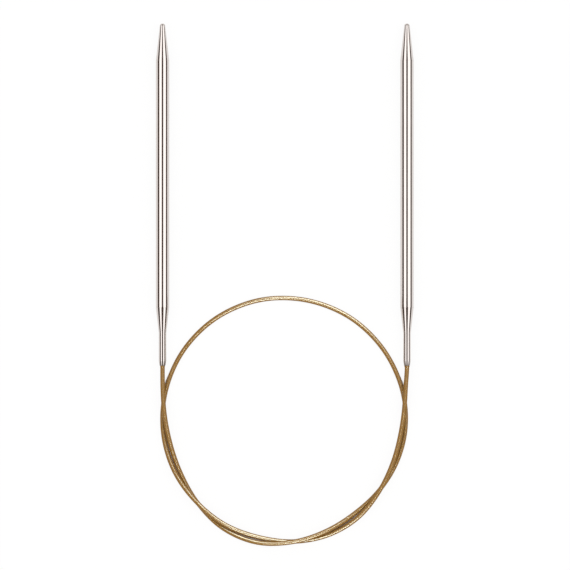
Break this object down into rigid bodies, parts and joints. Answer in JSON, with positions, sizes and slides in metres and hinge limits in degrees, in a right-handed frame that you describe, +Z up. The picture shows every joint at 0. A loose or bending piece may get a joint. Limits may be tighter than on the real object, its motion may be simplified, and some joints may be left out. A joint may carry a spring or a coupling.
{
  "type": "circular knitting needle",
  "caption": "Circular knitting needle: slim polished metal needles with tapered points and slender necks, joined by one long flexible gold plastic cord that lies in a loose loop.",
  "frame": {"origin": "on the table, under the middle of the rectangle that the two needles fill", "axes": "+Y along both needles towards their points, +X from the left needle to the right one, +Z up from the table"},
  "size_m": [0.1066, 0.2162, 0.0055],
  "materials": {
    "nickel_plate": "mirror polished nickel plate, slightly warm",
    "brass": "plain turned brass, hidden inside the tail",
    "gold_plastic": "smooth semi-gloss gold plastic"
  },
  "bodies": {
    "cord": {"cord": "gold_plastic"},
    "left_needle": {"left_point": "nickel_plate", "left_shank": "nickel_plate", "left_tail": "nickel_plate", "left_cord_sleeve": "brass"},
    "right_needle": {"right_point": "nickel_plate", "right_shank": "nickel_plate", "right_tail": "nickel_plate", "right_cord_sleeve": "brass"}
  },
  "joints": [
    {"name": "left_needle_swing", "type": "hinge", "parent": "cord", "child": "left_needle", "pos_m": [-0.0506, -0.07085, 0.00274], "axis": [0, 0, 1], "range_deg": [-20, 35], "stiffness_Nm_per_rad": 0.05, "deforming": ["cord"]},
    {"name": "right_needle_swing", "type": "hinge", "parent": "cord", "child": "right_needle", "pos_m": [0.0506, -0.07085, 0.00274], "axis": [0, 0, -1], "range_deg": [-20, 35], "stiffness_Nm_per_rad": 0.05, "deforming": ["cord"]}
  ]
}
